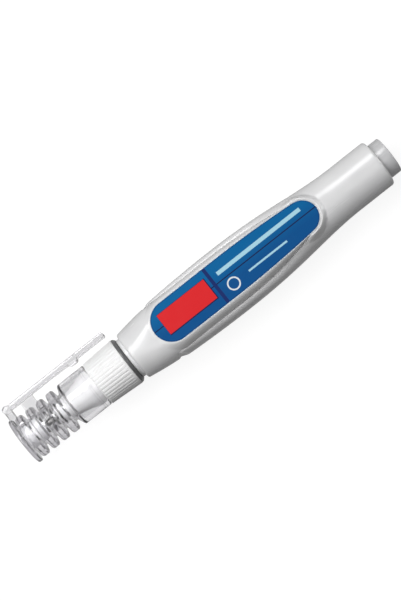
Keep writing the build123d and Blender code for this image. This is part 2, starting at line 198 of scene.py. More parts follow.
# %% [markdown]
# ## The barrel's skin
# The squeeze barrel is one moulding: a round shoulder, a waisted body with a raised band down each side, and a
# round tail. A sculpted mesh could follow it, but the bands need clean edges. So one cross section is worked
# out for every place along the pen: an arc of the body, the low wall of the band, its rounded edge and the
# band's own arc. Shoulder and tail are round, while beside the label the section is a fuller, squarer oval. A
# quarter of it is enough, because the barrel is the same on all four sides.

# %% Widths along the barrel
band_taper, body_taper, tail_power = 0.85, 1.95, 1.25
square_power, square_lap, square_fade, hold = 0.5, 3, 30, 60
shelf_height, shelf_power, shelf_lap = 5.2, 2.5, 0.35
shelf_gap, shelf_grow, shelf_end, shelf_fade = 0.3, 5, 8, 16


def eased(share):
    """Smooth step 3 t^2 - 2 t^3 of a share held between 0 and 1."""
    t = np.clip(share, 0, 1)
    return t * t * (3 - 2 * t)


def band_width(x):
    """Half width over the bands: a parabola ahead of the waist, and half a cosine wave down to the tail."""
    ahead = band_half - band_taper * ((waist - x) / (waist - band_front)) ** 2
    share = np.clip((x - waist) / (tail_start - waist), 0, 1) ** tail_power
    behind = tail_radius + (band_half - tail_radius) * (1 + np.cos(np.pi * share)) / 2
    return np.where(x < waist, ahead, behind)


def body_width(x):
    """Half width of the body without bands: a cubic from waist to shoulder, else the bands less their rise."""
    ahead = body_half - body_taper * ((waist - x) / (waist - shoulder_front)) ** 3
    return np.where(x < waist, ahead, band_width(x) - band_rise)


def window(x):
    """Half width of the space between the bands: straight up to the waist, then a quarter of an ellipse, and at
    its rear end a circle inside the label's own."""
    share = np.clip((x - waist) / (band_end - waist), 0, 1)
    beyond = np.clip(x - rear_centre, 0, None)
    inside = np.sqrt(np.clip((rear_radius - window_inset) ** 2 - beyond ** 2, 0, None))
    oval = facet_half * np.sqrt(1 - share ** 2)
    return np.where(x > rear_centre, np.minimum(oval, inside), oval)


def squareness(x):
    """Power n of the section (y / r)^n + (z / r)^n = 1: 2 is a circle, and 2.5 beside the label is squarer."""
    grown = eased((x - shoulder_front) / (label_front + square_lap - shoulder_front))
    return 2 + square_power * grown * eased((tail_start - x) / square_fade)


def section_height(half, n, y):
    """Height of a section at y: r (1 - (y / r)^n)^(1 / n), held under the panel's plane by a soft minimum."""
    z = half * np.clip(1 - (np.abs(y) / half) ** n, 0, 1) ** (1 / n)
    return z / (1 + (z / panel_half) ** hold) ** (1 / hold)


def shelved(x):
    """How much of a shelf the bands have: none at the notch, all of it beside the label, none at the rear."""
    return eased((x - band_front - shelf_gap) / shelf_grow) * (1 - eased((x - shelf_end) / shelf_fade))


def band_height(x, y):
    """Height of the bands. Beside the label it is a shelf, level at the window and ever steeper towards the side:
    h (1 - t^2.5)^0.4 with t from 0 near the window to 1 at the widest place. Elsewhere it is the oval."""
    oval = section_height(band_width(x), squareness(x), y)
    start = window(x) - shelf_lap
    t = np.clip((np.abs(y) - start) / (band_width(x) - start), 0, 1)
    shelf = shelf_height * band_width(x) / band_half * (1 - t ** shelf_power) ** (1 / shelf_power)
    return oval + shelved(x) * (shelf - oval)


print("band brow at the waist", round(float(band_height(waist, facet_half)), 2))


# %% Barrel section
shoulder_soft, tail_soft, brow_soft, soft_share = 0.5, 0.9, 0.5, 0.75
notch_ahead, notch_behind, notch_middle, notch_half = 1.6, 3.2, 0.8, 2.4
notch_depth, notch_round, notch_fall, notch_rise = 1.0, 0.2, 0.8, 0.55
body_sink, ahead_share, narrow_half = 0.16, 0.92, 1.5


def barrel_rings():
    """Rings of the barrel's skin. They crowd at the shoulder's edge, the notch, the window's end and the tail's
    edge. Round the pen each quarter is body arc, wall, edge and band arc."""
    edge = np.linspace(0, np.pi / 2, 8)
    front = shoulder_front + shoulder_soft * (1 - np.cos(edge))
    notch = band_front + np.concatenate([np.linspace(-notch_ahead, 0, 17), np.linspace(0, notch_behind, 25)[1:]])
    rear = waist + (window_end - waist) * np.sin(np.linspace(0, np.pi / 2, 64)[1:])
    fillet = tail_end - tail_soft * (1 - np.sin(edge))
    x = np.concatenate([front, np.linspace(front[-1], notch[0], 20)[1:-1], notch[:17] - 1e-4, notch[16:],
                        np.linspace(notch[-1], waist, 30)[1:], rear, [window_end + 1e-3],
                        np.linspace(window_end, fillet[0], 34)[1:-1], fillet])[:, None]
    banded, open_side = x >= band_front - 1e-6, x <= window_end + 1e-6
    outer = np.where(banded, band_width(x), body_width(x))
    inner = np.where(open_side, body_width(x), outer)
    into_front = np.clip(1 - (x - shoulder_front) / shoulder_soft, 0, 1)
    into_tail = np.clip((x - tail_end + tail_soft) / tail_soft, 0, 1)
    drop = shoulder_soft * (1 - np.sqrt(1 - into_front ** 2)) + tail_soft * (1 - np.sqrt(1 - into_tail ** 2))
    outer, inner, n = outer - drop, inner - drop, squareness(x)
    half = np.where(open_side, window(x), 0)
    half = np.where(banded, half, np.minimum(half, ahead_share * inner))

    sunk = 1 - body_sink * shelved(x)
    top = lambda y: np.where(banded & (shelved(x) > 0), band_height(x, y), section_height(outer, n, y))
    y = [half * np.linspace(0, 1, 40)[None, :]]
    z = [section_height(inner, n, y[0]) * sunk]
    foot, brow = z[0][:, -1:], top(half)
    soft = np.minimum(brow_soft, soft_share * (brow - foot)) * np.minimum(1, half / narrow_half)
    t = np.linspace(0, 1, 5)[None, 1:]
    y, z = y + [half + 0 * t], z + [foot + (brow - soft - foot) * t]
    begin = half + soft_share * soft
    t = np.linspace(0, 1, 9)[None, 1:]
    y += [(1 - t ** 2) * half + t ** 2 * begin]
    z += [(1 - t) ** 2 * (brow - soft) + 2 * t * (1 - t) * brow + t ** 2 * top(begin)]
    start = np.arcsin((begin / outer) ** (n / 2))
    a = start + (np.pi / 2 - start) * np.linspace(0, 1, 40)[None, 1:]
    y += [outer * np.sin(a) ** (2 / n)]
    z += [top(y[-1])]
    y, z = np.concatenate(y, axis=1), np.concatenate(z, axis=1)

    away = np.where(x < band_front, notch_fall, notch_rise) * (x - band_front)
    cut = body_width(np.array(band_front)) - notch_depth + np.hypot(away, notch_round)
    y = np.where(np.abs(x - band_front - notch_middle) <= notch_half, np.minimum(y, cut), y)
    y = np.concatenate([y, y[:, -2::-1], -y[:, 1:], -y[:, -2:0:-1]], axis=1)
    z = np.concatenate([z, -z[:, -2::-1], -z[:, 1:], z[:, -2:0:-1]], axis=1)
    return np.stack([x + 0 * y, y, axis_z + z], axis=-1)


barrel_skin = shell(barrel_rings())
print("barrel section", len(barrel_skin[0]), "points")

# %% [markdown]
# ## Label panels
# On the front and on the back a long tongue rises from the body, and its flat top holds a label. It could be
# cut from the body, but its outline is two round ends with sides that bow inwards, so it is easier to carry a
# side profile along that outline. The profile steps out of the label's recess and rolls over a slope that ends
# at the wall of the band, wide beside the front of the label and very narrow round its rear end. Ahead of the
# bands there is no wall, and the slope runs out into the body.

# %% Tongue outline
def tongue(margin):
    """Outline of the label grown by each margin: rows of margins, columns of points, x and y. Half of it is
    the front arc, a straight side, a wide arc that bows inwards and the rear arc; the rest is its mirror."""
    m = np.atleast_1d(np.asarray(margin, float))[:, None]
    front, rear, reach = front_radius + m, rear_radius + m, rear_centre - waist
    bow = (reach ** 2 + front ** 2 - rear ** 2) / (2 * (front - rear))
    turn = np.arcsin(reach / (bow - rear))
    a = np.linspace(np.pi, np.pi / 2, 28)[None, :]
    side = np.linspace(0, 1, 14)[None, 1:]
    b = turn * np.linspace(0, 1, 40)[None, 1:]
    c = (np.pi / 2 - turn) * np.linspace(1, 0, 30)[None, 1:]
    x = [front_centre + front * np.cos(a), front_centre + (waist - front_centre) * side + 0 * m,
         waist + bow * np.sin(b), rear_centre + rear * np.cos(c)]
    y = [front * np.sin(a), front + 0 * side, front - bow + bow * np.cos(b), rear * np.sin(c)]
    half = np.stack([np.concatenate(x, axis=1), np.concatenate(y, axis=1)], axis=-1)
    return np.concatenate([half, half[:, -2:0:-1] * [1, -1]], axis=1)


def on_outline(margins, heights, side):
    """Rings of a profile of margins and heights, carried round the tongue; side -1 turns it to the back."""
    return lifted(tongue(margins), side * np.asarray(heights, float)[:, None])


def rim_share(x):
    """How far the rim round the label's rear end has risen to the label's level: 0 ahead of it, 1 at the rear."""
    return eased((x - rim_start) / (rear_centre - rim_start))


rim_start = rear_centre - 5.0
slope_margin, spread_reach, narrowest, widest = 0.12, 2, 0.16, 2.1
rim_line, far_line = tongue([slope_margin, slope_margin + spread_reach])
spread = (far_line - rim_line) / spread_reach
to_wall = np.clip(window(rim_line[:, 0]) - np.abs(rim_line[:, 1]), narrowest, widest)
print("slope from", round(to_wall.min(), 2), "to", round(to_wall.max(), 2), "wide")


# %% Panels
film, film_edge, film_air, inner_margin, recess_gap = 0.12, 0.03, 0.01, 5.2, 0.06
first_tilt, last_tilt, ahead_power, panel_root = 10, 70, 1.4, 2.0
band_lap, band_run, under_body, under_band, rear_fall = 1, 6, 0.1, 0.5, 0.2
recess = np.array([[-inner_margin, panel_half - film], [recess_gap, panel_half - film],
                   [recess_gap, panel_half - film_edge], [recess_gap + film_edge, panel_half]])


def panel(side):
    """Rings of a panel: recess, then a slope whose tilt grows from 10 to 70 degrees, so that its run is the
    difference of sines and its fall the difference of cosines, stretched to the wall of the band. Ahead of the
    bands the fall is run^1.4 instead, and the slope runs out level with the body."""
    tilt = np.radians(np.linspace(first_tilt, last_tilt, 16))
    run = (np.sin(tilt) - np.sin(tilt[0])) / (np.sin(tilt[-1]) - np.sin(tilt[0]))
    fall = (np.cos(tilt[0]) - np.cos(tilt)) / (np.cos(tilt[0]) - np.cos(tilt[-1]))
    flat = rim_line + run[:, None, None] * (to_wall[:, None] * spread)
    x, y = flat[-1, :, 0], flat[-1, :, 1]
    beside = eased((x - band_front + band_lap) / band_run)
    ahead = section_height(body_width(x), squareness(x), y)
    foot = ahead - under_body + beside * (band_height(np.maximum(x, band_front), y) - ahead - under_band)
    depth = (panel_half - foot) * (1 - rim_share(x)) + rear_fall * rim_share(x)
    fall = run[:, None] ** ahead_power * (1 - beside) + fall[:, None] * beside
    slope = lifted(flat, side * (panel_half - fall * depth))
    under = lifted(flat[-1:], side * panel_root)
    return shell(np.concatenate([on_outline(*recess.T, side), slope, under]))


panels = [panel(side) for side in (1, -1)]
print("each panel", len(panels[0][0]), "points")

# %% [markdown]
# ## Rim round the rear of the label
# Where the two bands meet behind the label, they form a soft rim round its end. A fillet on the bands could give
# it, but the rim also has to fade out along both sides. So it is a strip of its own, laid on the bands along the
# end of the tongue: its crest reaches the label's level at the rear and sinks into the bands further ahead.

# %% Rear rim
crest, rim_width, foot_share, crest_share = 0.5, 2.0, 0.85, 0.15
crest_under, rim_under, start_depth, start_run, rim_root = 0.06, 0.04, 0.6, 5, 0.8


def rear_rim(side):
    """Rings of the rim, one for each place along the tongue's rear: across it, the height above the band is the
    crest's rise times a quarter wave up and a squared cosine down. At its start it lies 0.6 deep in the band."""
    path = np.where(rim_line[:, 0] > rim_start)[0]
    rising = np.linspace(0, crest, 7)
    m = np.concatenate([rising, np.linspace(crest, rim_width, 14)[1:]])
    up = foot_share + crest_share * np.sin(np.pi / 2 * np.clip(m / crest, 0, 1))
    down = np.cos(np.pi / 2 * (m - crest) / (rim_width - crest)) ** 2
    swell = np.where(m < crest, up, down)
    flat = rim_line[path, None] + (to_wall[path, None] + m)[..., None] * spread[path, None]
    x, y = flat[..., 0], flat[..., 1]
    base = band_height(x, y)
    at_crest = base[:, len(rising) - 1:len(rising)]
    rise = rim_share(x[:, :1]) * (panel_half - crest_under - at_crest)
    sunk = start_depth * (1 - eased((x[:, :1] - rim_start) / start_run))
    z = np.minimum(base + rise * swell - sunk, panel_half - rim_under)
    low = lifted(flat[:, [-1, 0]], side * (base[:, [-1, 0]] - rim_root))
    return shell(np.concatenate([lifted(flat, side * z), low], axis=1))


rims = [rear_rim(side) for side in (1, -1)]
print("each rim", len(rims[0][0]), "points")

# %% [markdown]
# ## Neck and the barrel as one piece
# Ahead of the shoulder the barrel ends in a neck with a stop ring, and the nozzle snaps over it. Turned parts
# like this are a profile and an axis. The skins of body, panels, rims and neck go into one mesh: they are all
# one moulding, and each skin is closed in itself.

# %% Barrel piece
neck_front, stop_front, neck_end = collar_rear - 7.0, ring_high[0], shoulder_front + 0.6
neck_radius, stop_radius = 6.1, 6.85
neck_profile = rounded([[neck_front, 0], [neck_front, neck_radius], [stop_front, neck_radius],
                        [stop_front, stop_radius], [neck_end, stop_radius], [neck_end, 0]], [0.2, 0.05, 0.15, 0.05])
barrel = lay_mesh("barrel_moulding", [barrel_skin, *panels, *rims, turned(neck_profile, 96)], "pen",
                  ["barrel"])

# %% [markdown]
# ## Labels
# Each label is a thin film that lies flush in its recess. A flat picture would do for a photograph, but the
# film has its own outline and edge, so it is the same tongue with a thickness. Every point also keeps how far
# it is from the edge, and the painted highlight and painted shade along the print's edge follow that.

# %% Label films
def label_film(name, side):
    """A film of rings from its middle to its edge, and back along its underside."""
    under, inmost = film - film_air, -inner_margin
    margins = np.array([inmost, -4, -3, -2, -1, -0.5, -0.06, 0, 0, inmost])
    heights = panel_half - np.array([0] * 7 + [film_edge, under, under])
    rings = on_outline(margins, heights, side)
    inset = np.repeat(-margins, rings.shape[1])
    return lay_mesh(name + "_film", [shell(rings)], "pen", [name], crease=20,
                    values={"inset": inset})


front_film = label_film("front_label", 1)
back_film = label_film("back_label", -1)

# %% [markdown]
# ## Tail plug
# A plug of smaller diameter closes the hole in the tail that the pen is filled through. It is turned too, with
# a softened edge and a shallow dish in its end.

# %% Plug
plug_end, plug_lip, plug_shank, plug_front = plug_high[0], plug_high[1], 5.38, tail_end - 7.4
dish_floor, dish_radius, dish_rim = plug_end - 0.25, 4.1, 4.4
plug_profile = rounded([[plug_front, 0], [plug_front, plug_shank], [tail_end, plug_shank], [tail_end, plug_lip],
                        [plug_end, plug_lip], [plug_end, dish_rim], [dish_floor, dish_radius], [dish_floor, 0]],
                       [0.3, 0.02, 0.12, 0.45, 0.08, 0.08])
plug = lay_mesh("tail_plug_moulding", [turned(plug_profile, 128)], "pen", ["tail_plug"])

# %% [markdown]
# ## Nozzle
# The white nozzle has a short nose, a bell that flares to the cap's seat, and a grip collar with forty fine
# grooves. The bell is turned. The grooves could be cut out one by one, but a turned skin can also just have
# its radius lowered: near each groove's middle the radius follows the groove's own small circle. Behind the
# collar a dark ring closes the joint to the barrel. Its dark grey is painted shade, standing in for the shadow
# in that joint.

# %% Nozzle
nose_bore, nose_lip, nose_radius, seat_radius, neck_bore = 1.62, 3.05, 3.43, 5.77, 6.12
guide_bore, needle_bore, leave_slope, arrive_slope = 2.78, 2.18, 0.19, 0.55
socket_floor, guide_front, tip_rear = neck_front - 0.8, seat_front + 4, nose_front + 5.5
collar_small, collar_gain, grip_floor = 7.32, 0.65, 7
grip_start, grip_end, grip_fade = collar_front + 0.4, collar_front + 10.3, 0.35
groove_count, groove_radius, groove_depth = 40, 0.5, 0.12


def flare(steps=14):
    """The bell's curve from nose to seat: a cubic with end slopes, weighted by the Hermite polynomials."""
    t = np.linspace(0, 1, steps)[:, None]
    start, end = np.array([nose_rear, nose_radius]), np.array([seat_front, seat_radius])
    chord = np.linalg.norm(end - start)
    leave, arrive = (np.array([1, slope]) / np.hypot(1, slope) for slope in (leave_slope, arrive_slope))
    return ((2 * t ** 3 - 3 * t ** 2 + 1) * start + (t ** 3 - 2 * t ** 2 + t) * chord * leave
            + (3 * t ** 2 - 2 * t ** 3) * end + (t ** 3 - t ** 2) * chord * arrive)


def nozzle_rings():
    """Rings of the nozzle: nose, flare, seat, collar and bore, with the collar's radius lowered to
    groove centre - sqrt(groove radius^2 - offset^2) wherever that is less than the plain radius."""
    nose = rounded([[nose_front, nose_bore], [nose_front, nose_lip], [nose_rear, nose_radius]], 0.4)
    collar = rounded([[seat_front, seat_radius], [collar_front, seat_radius], [collar_front, collar_small],
                      [collar_rear, collar_small + collar_gain], [collar_rear, neck_bore]], [0.1, 0.22, 0.25])
    grip = np.linspace(grip_start, grip_end, 30)
    grip = np.stack([grip, collar_small + collar_gain * (grip - collar_front) / collar_length], axis=-1)
    inside = [[socket_floor, neck_bore], [socket_floor, guide_bore], [guide_front, guide_bore],
              [guide_front, needle_bore], [tip_rear, needle_bore], [tip_rear, nose_bore]]
    profile = np.concatenate([nose[:-1], flare(), collar[1:13], grip, collar[13:], inside])
    x, r = profile.T[..., None]
    pitch = 2 * np.pi / groove_count
    part = np.array([-0.5, -0.33, -0.3, -0.25, -0.17, -0.08, 0, 0.08, 0.17, 0.25, 0.3, 0.33])
    a = (np.arange(groove_count)[:, None] + part[None, :]).reshape(-1) * pitch
    offset = np.tile(part, groove_count)[None, :] * pitch * r
    depth = groove_depth * np.clip((grip_end - x) / grip_fade, 0, 1) ** 0.5
    groove = r - depth + groove_radius - np.sqrt(np.clip(groove_radius ** 2 - offset ** 2, 0, None))
    ribbed = (r > grip_floor) & (x < grip_end + 0.1) & (x >= collar_front)
    return round_axis(x, np.where(ribbed, np.minimum(r, groove), r + 0 * a), a)


nozzle = lay_mesh("nozzle_moulding", [shell(nozzle_rings(), close_rows=True)], "pen",
                  ["nozzle"], crease=40)
# The dark ring behind the collar: its colour is painted shade for the shadowed joint.
ring_lip, ring_rear, ring_bore, ring_bevel, face_r = ring_high[1], ring_high[0], 6.14, 0.75, 6.5
ring_profile = rounded([[collar_rear, face_r], [collar_rear, ring_bore], [ring_rear, ring_bore],
                        [ring_rear, ring_lip - ring_bevel], [ring_rear - ring_bevel, ring_lip],
                        [collar_rear, ring_lip], [collar_rear, face_r + 0.1]], [0.04, 0.04, 0.12, 0.2, 0.15])
joint_shade_ring = lay_mesh("collar_shade_ring_turned", [turned(ring_profile, 128, close_rows=True)], "pen",
                     ["collar_ring"])

# %% [markdown]
# ## Metal tip
# The writing tip is a small turned tube with a flange against the nose. Its profile has the real bore, so the
# needle is seen in it.

# %% Tip
tip_front, lip, tube, shank, tube_bore, point_bore = tip_low[0], tip_high[1], 1.1, 1.6, 0.58, 0.36
from_point = [[0, point_bore], [0, 0.68], [0.08, 0.76], [1.3, tube], [3.1, tube], [3.2, 1.02], [3.35, 1.02],
              [3.45, tube]]
from_nose = [[-0.6, tube], [-0.5, 1.2], [-0.5, lip - 0.08], [-0.42, lip], [0, lip], [0, shank],
             [tip_rear - nose_front, shank], [tip_rear - nose_front, tube_bore]]
in_point = [[0.9, tube_bore], [0.9, point_bore]]
tip_profile = np.concatenate([np.add(from_point, [tip_front, 0]), np.add(from_nose, [nose_front, 0]),
                              np.add(in_point, [tip_front, 0])])
tip = lay_mesh("metal_tip_turned", [turned(tip_profile, 72, close_rows=True)], "pen", ["metal_tip"])

# %% [markdown]
# ## Valve spring
# Behind the needle a small coil spring keeps the valve shut. Its solid could stay as it is, but the wire is wound
# again here as one skin, in a mesh of its own.

# %% Spring
def coil(turns, wire, columns=10):
    """Rings round a wire on a helix of radius R: its middle is (x, R sin a, R cos a) with x rising evenly, and each
    ring is spanned by the way to the axis and the way square to it and to the wire."""
    a = np.linspace(0, 2 * np.pi * turns, 48 * turns)[:, None]
    radius, zero = spring_high[1] - wire, 0 * a
    rise = (spring_high[0] - spring_low[0] - 2 * wire) / (2 * np.pi * turns)
    middle = round_axis(spring_low[0] + wire + rise * a, radius, a)
    inwards = np.stack([zero, -np.sin(a), -np.cos(a)], axis=-1)
    along = np.stack([rise + zero, radius * np.cos(a), -radius * np.sin(a)], axis=-1)
    across = np.cross(along / np.hypot(rise, radius), inwards)
    b = np.linspace(0, 2 * np.pi, columns, endpoint=False)[None, :, None]
    return middle + wire * (np.cos(b) * inwards + np.sin(b) * across)


turns, wire, travel, spring_length = 6, 0.2, 0.82, spring_high[0] - spring_low[0]
spring = lay_mesh("spring_coil", [shell(coil(turns, wire))], "pen", ["valve_spring"], crease=60)
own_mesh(spring)

# %% [markdown]
# ## Cap
# The cap is one clear moulding: a round flange, four rounded fins, a skirt that slips over the nozzle's seat,
# and a clip that springs from a bulb at the flange and leans on a web. The round part is turned, with its bore
# in the same closed profile, so light is bent at both walls. The clip is an outline carried up through its
# width with softened edges. In clear plastic one skin inside another shows, so a Boolean joins them.

# %% Cap, round part
core, bore, skirt_bore, skirt_top = 4.73, seal_high[1] + 0.02, 5.87, 7.25
fin_top, flange_top, snap_bore = core + 2.5, core + 3.0, skirt_bore + 0.25
skirt_rear, step, step_run = collar_front - 0.2, nose_rear + 1.3, 1.1
snap_front, snap_rear = skirt_rear - 2.1, skirt_rear - 1.4
skirt_front, first_root = step - 0.6, cap_end + 1.65
flange_rear, end_wall = cap_end + 1.3, cap_end + 2.5
fin_count, fin_gap, cap_crease = 4, 0.56, 40
pitch = (skirt_front - first_root) / fin_count
root_half = (pitch - fin_gap) / 2
tip_half = root_half - 0.5
fin = np.array([[-root_half - fin_gap / 2, core], [-root_half, core], [-tip_half, fin_top], [tip_half, fin_top],
                [root_half, core]])
fin_middles = first_root + root_half + pitch * np.arange(fin_count)[:, None, None]
fins = (fin + fin_middles * [1, 0]).reshape(-1, 2)
flange = [[cap_end, 0], [cap_end, flange_top], [flange_rear, flange_top], [flange_rear, core]]
skirt = [[skirt_front, core], [skirt_front + step_run, skirt_top], [skirt_rear, skirt_top],
         [skirt_rear, skirt_bore], [snap_rear, skirt_bore], [snap_rear, snap_bore], [snap_front, snap_bore],
         [snap_front, skirt_bore], [step + step_run, skirt_bore], [step, bore], [end_wall, bore], [end_wall, 0]]
flange_soft, fin_soft = [0.42, 0.42, 0.03], [0.03, 0.12, 0.62, 0.62, 0.12]
skirt_soft = [0.12, 0.5, 0.3, 0.2, 0.05, 0.05, 0.05, 0.05, 0.4, 0.4, 0.2]
cap_profile = rounded(np.concatenate([flange, fins, skirt]), flange_soft + fin_soft * fin_count + skirt_soft)
cap_round = turned(cap_profile, 160)
print("cap profile", len(cap_profile), "points")

# %% Cap, clip
bulb_r, strap_half, clip_half, stem_half, web_half, soft_end, soft_edge = 1.3, 0.85, 2.3, 2.15, 1.1, 0.82, 0.2
bulb_x, bulb_y = cap_end + 1.75, cap_high[1] - bulb_r
strap_low, strap_high, strap_end = bulb_y - strap_half, bulb_y + strap_half, cap_high[0]
bead_x, bead_y, bead_r, bead_flat = cap_end + 26.4, strap_low + 0.35, 1.2, 0.5


def clip_outline():
    """Closed outline of the clip in x and y: the bulb's arc, the strap's inner side with the bead, which is two
    arcs either side of a flat, then a rounded end and the outer side."""
    a = np.arcsin((bulb_y - strap_low) / bulb_r)
    bulb = np.linspace(a, 2 * np.pi - a, 40)
    b = np.arccos((bead_y - strap_low) / bead_r)
    bead = np.linspace(-b, b, 20)
    run = lambda x0, x1, y, n: np.stack([np.linspace(x0, x1, n)[1:-1], np.full(n - 2, y)], axis=-1)
    bulb = np.stack([bulb_x + bulb_r * np.cos(bulb), bulb_y + bulb_r * np.sin(bulb)], axis=-1)
    bead = np.stack([bead_x + bead_flat * np.sign(bead) + bead_r * np.sin(bead), bead_y - bead_r * np.cos(bead)],
                    axis=-1)
    end = rounded([[strap_end - 1, strap_low], [strap_end, strap_low], [strap_end, strap_high],
                   [strap_end - 1, strap_high]], soft_end, 10)
    return np.concatenate([bulb, run(bulb[-1, 0], bead[0, 0], strap_low, 30), bead,
                           run(bead[-1, 0], strap_end - 1, strap_low, 14), end,
                           run(strap_end - 1, bulb[0, 0], strap_high, 40)])


def raised(outline, half, edge=0.4):
    """Rings of an outline carried from -half to half in z. Near both faces the outline steps inwards along its
    normals by edge (1 - cos t), while z follows edge sin t, a quarter circle."""
    along = np.roll(outline, -1, axis=0) - np.roll(outline, 1, axis=0)
    inwards = np.stack([-along[:, 1], along[:, 0]], axis=-1) / np.linalg.norm(along, axis=1, keepdims=True)
    turn = np.sum(outline[:, 0] * np.roll(outline[:, 1], -1) - outline[:, 1] * np.roll(outline[:, 0], -1))
    t = np.linspace(np.pi / 2, 0, 6)
    step_in = np.concatenate([edge * (1 - np.cos(t)), edge * (1 - np.cos(t[::-1]))])
    z = np.concatenate([-half + edge - edge * np.sin(t), half - edge + edge * np.sin(t[::-1])])
    flat = outline[None] + np.sign(turn) * inwards[None] * step_in[:, None, None]
    return lifted(flat, z[:, None])


def bar(x0, x1, y0, y1):
    """Outline of a bar with rounded corners, in x and y."""
    middle = (x0 + x1) / 2
    return rounded([[middle, y0], [x1, y0], [x1, y1], [x0, y1], [x0, y0], [middle - 1e-3, y0]], 0.5, 8)


inside_core = (core + bore) / 2
clip = raised(clip_outline(), clip_half)
root = raised(bar(bulb_x - 1.1, bulb_x + 1.1, inside_core, bulb_y), stem_half, soft_edge)
web = raised(bar(cap_end + 6.1, cap_end + 10.6, inside_core, bulb_y), web_half, soft_edge)
print("clip outline", clip.shape[1], "points")

# %% Cap, joined
cap = lay_mesh("cap_moulding", [cap_round], "cap", ["cap_shell"], crease=cap_crease)
clip_parts = [lay_mesh("clip_" + name, [shell(rings)], "cap")
              for name, rings in (("strap", clip), ("root", root), ("web", web))]
for piece in clip_parts:
    join = cap.modifiers.new("join", "BOOLEAN")
    join.operation, join.solver, join.object = "UNION", "MANIFOLD", piece
joined = bpy.data.meshes.new_from_object(cap.evaluated_get(bpy.context.evaluated_depsgraph_get()))
cap.modifiers.clear()
cap.data = joined
joined.materials.clear()
joined.shade_smooth()
joined.set_sharp_from_angle(angle=np.radians(cap_crease))
for piece in clip_parts:
    bpy.data.objects.remove(piece)
work = bmesh.new()
work.from_mesh(joined)
print("cap joined", len(work.faces), "faces", round(work.calc_volume() / MM ** 3), "cubic mm",
      sum(not edge.is_manifold for edge in work.edges), "open edges")
work.free()

# %% [markdown]
# ## Nodes for finishes
# Every finish here is a small network on the Principled shader. The textures read Object coordinates, which are
# metres from the pen's own origin, so a grain of 0.3 mm needs a texture scale of a few thousand.

# %% Node helpers
def finish(name):
    """A new node material and its tree, shader and Object coordinates."""
    material = bpy.data.materials.new(name)
    material.use_nodes = True
    tree = material.node_tree
    return material, tree, tree.nodes["Principled BSDF"], node(tree, "TexCoord").outputs["Object"]


def node(tree, kind, inputs=(), **settings):
    """A node of a kind. Its settings are attributes; its inputs are numbers, colours or sockets by name."""
    made = tree.nodes.new("ShaderNode" + kind)
    for key, value in settings.items():
        setattr(made, key, value)
    dress(tree, made, dict(inputs))
    return made


def dress(tree, made, inputs):
    """Sets inputs of a node to plain values, or links them to the sockets given."""
    for key, value in inputs.items():
        if isinstance(value, bpy.types.NodeSocket):
            tree.links.new(value, made.inputs[key])
        else:
            made.inputs[key].default_value = value


def sums(tree, operation, *terms):
    """One Math node on numbers or sockets."""
    return node(tree, "Math", enumerate(terms), operation=operation).outputs[0]


def between(tree, value, low, high, start=0.0, end=1.0):
    """A value moved from the range low to high into the range start to end, and held there."""
    words = {"Value": value, "From Min": low, "From Max": high, "To Min": start, "To Max": end}
    return node(tree, "MapRange", words).outputs["Result"]


def blended(tree, share, first, second):
    """A colour that goes from the first to the second as share goes from 0 to 1."""
    return node(tree, "Mix", {0: share, 6: first, 7: second}, data_type="RGBA").outputs[2]


def noise(tree, place, scale, detail=2.0, stretch=(1, 1, 1)):
    """Cloudy texture between 0 and 1 at a scale per metre, stretched along the axes."""
    placed = node(tree, "Mapping", {"Vector": place, "Scale": stretch}).outputs[0]
    return node(tree, "TexNoise", {"Vector": placed, "Scale": scale, "Detail": detail}).outputs[0]


def bumped(tree, shader, height, strength, depth):
    """A bump from a height between 0 and 1, as deep as depth in metres."""
    bump = node(tree, "Bump", {"Height": height, "Strength": strength, "Distance": depth})
    dress(tree, shader, {"Normal": bump.outputs[0]})


def coat(piece, material):
    """Gives a piece its finish."""
    piece.data.materials.append(material)
    print(piece.name, "in", material.name)


def grey(level, blue=1):
    """A grey of one level, with its blue part changed a little."""
    return (level, level, level * blue, 1)


# %% [markdown]
# ## Moulded plastics
# Barrel, plug, nozzle, ring and seals are satin mouldings. A flat colour would look like clay, because a real
# moulding has a fine grain, slow changes of tone where the melt cooled, and faint lines along the flow. The
# grain is a fine noise in the bump, the tone a slow noise in the colour, and the flow a noise stretched along
# the pen that changes the roughness.

# %% Plastics
def moulded(name, dark, light, rough, grain, gloss=0.4, milky=0.0):
    """Satin plastic: colour between dark and light by slow clouds, roughness by lines along the flow. A milky
    plastic lets light wander about a millimetre under its skin."""
    material, tree, shader, place = finish(name)
    clouds = between(tree, noise(tree, place, 90), 0.3, 0.7)
    flow = noise(tree, place, 700, 3, (0.06, 1, 1))
    fine = noise(tree, place, 4200, 3)
    satin = between(tree, flow, 0.3, 0.7, rough - 0.05, rough + 0.06)
    dress(tree, shader, {"Base Color": blended(tree, clouds, dark, light), "Roughness": satin,
                         "Specular IOR Level": gloss, "Subsurface Weight": milky,
                         "Subsurface Radius": (1, 1, 1), "Subsurface Scale": 0.0012})
    bumped(tree, shader, fine, grain, 0.00002)
    return material


coat(barrel, moulded("satin_silver_grey", grey(0.73, 1.01), grey(0.79, 1.005), 0.22, 0.05, 0.6))
coat(plug, moulded("satin_plug_grey", grey(0.55, 1.02), grey(0.6, 1.01), 0.24, 0.15, 0.7))
coat(nozzle, moulded("satin_white", grey(0.88), grey(0.92), 0.45, 0.2, 0.3, milky=0.4))
# The ring's dark grey is painted shade, standing in for the shadow in the joint behind the collar.
coat(joint_shade_ring, moulded("glossy_painted_shade_grey", grey(0.11, 1.03), grey(0.14, 1.02), 0.22, 0.15, 0.6))
seal_plastic = moulded("soft_whitish", grey(0.88, 1.01), grey(0.92, 1.01), 0.3, 0.15, milky=0.5)
plunger_plastic = moulded("natural_plastic", grey(0.7, 0.98), grey(0.78, 0.99), 0.42, 0.2)
gasket_rubber = moulded("dark_seal_rubber", grey(0.02), grey(0.035), 0.62, 0.4, 0.3)

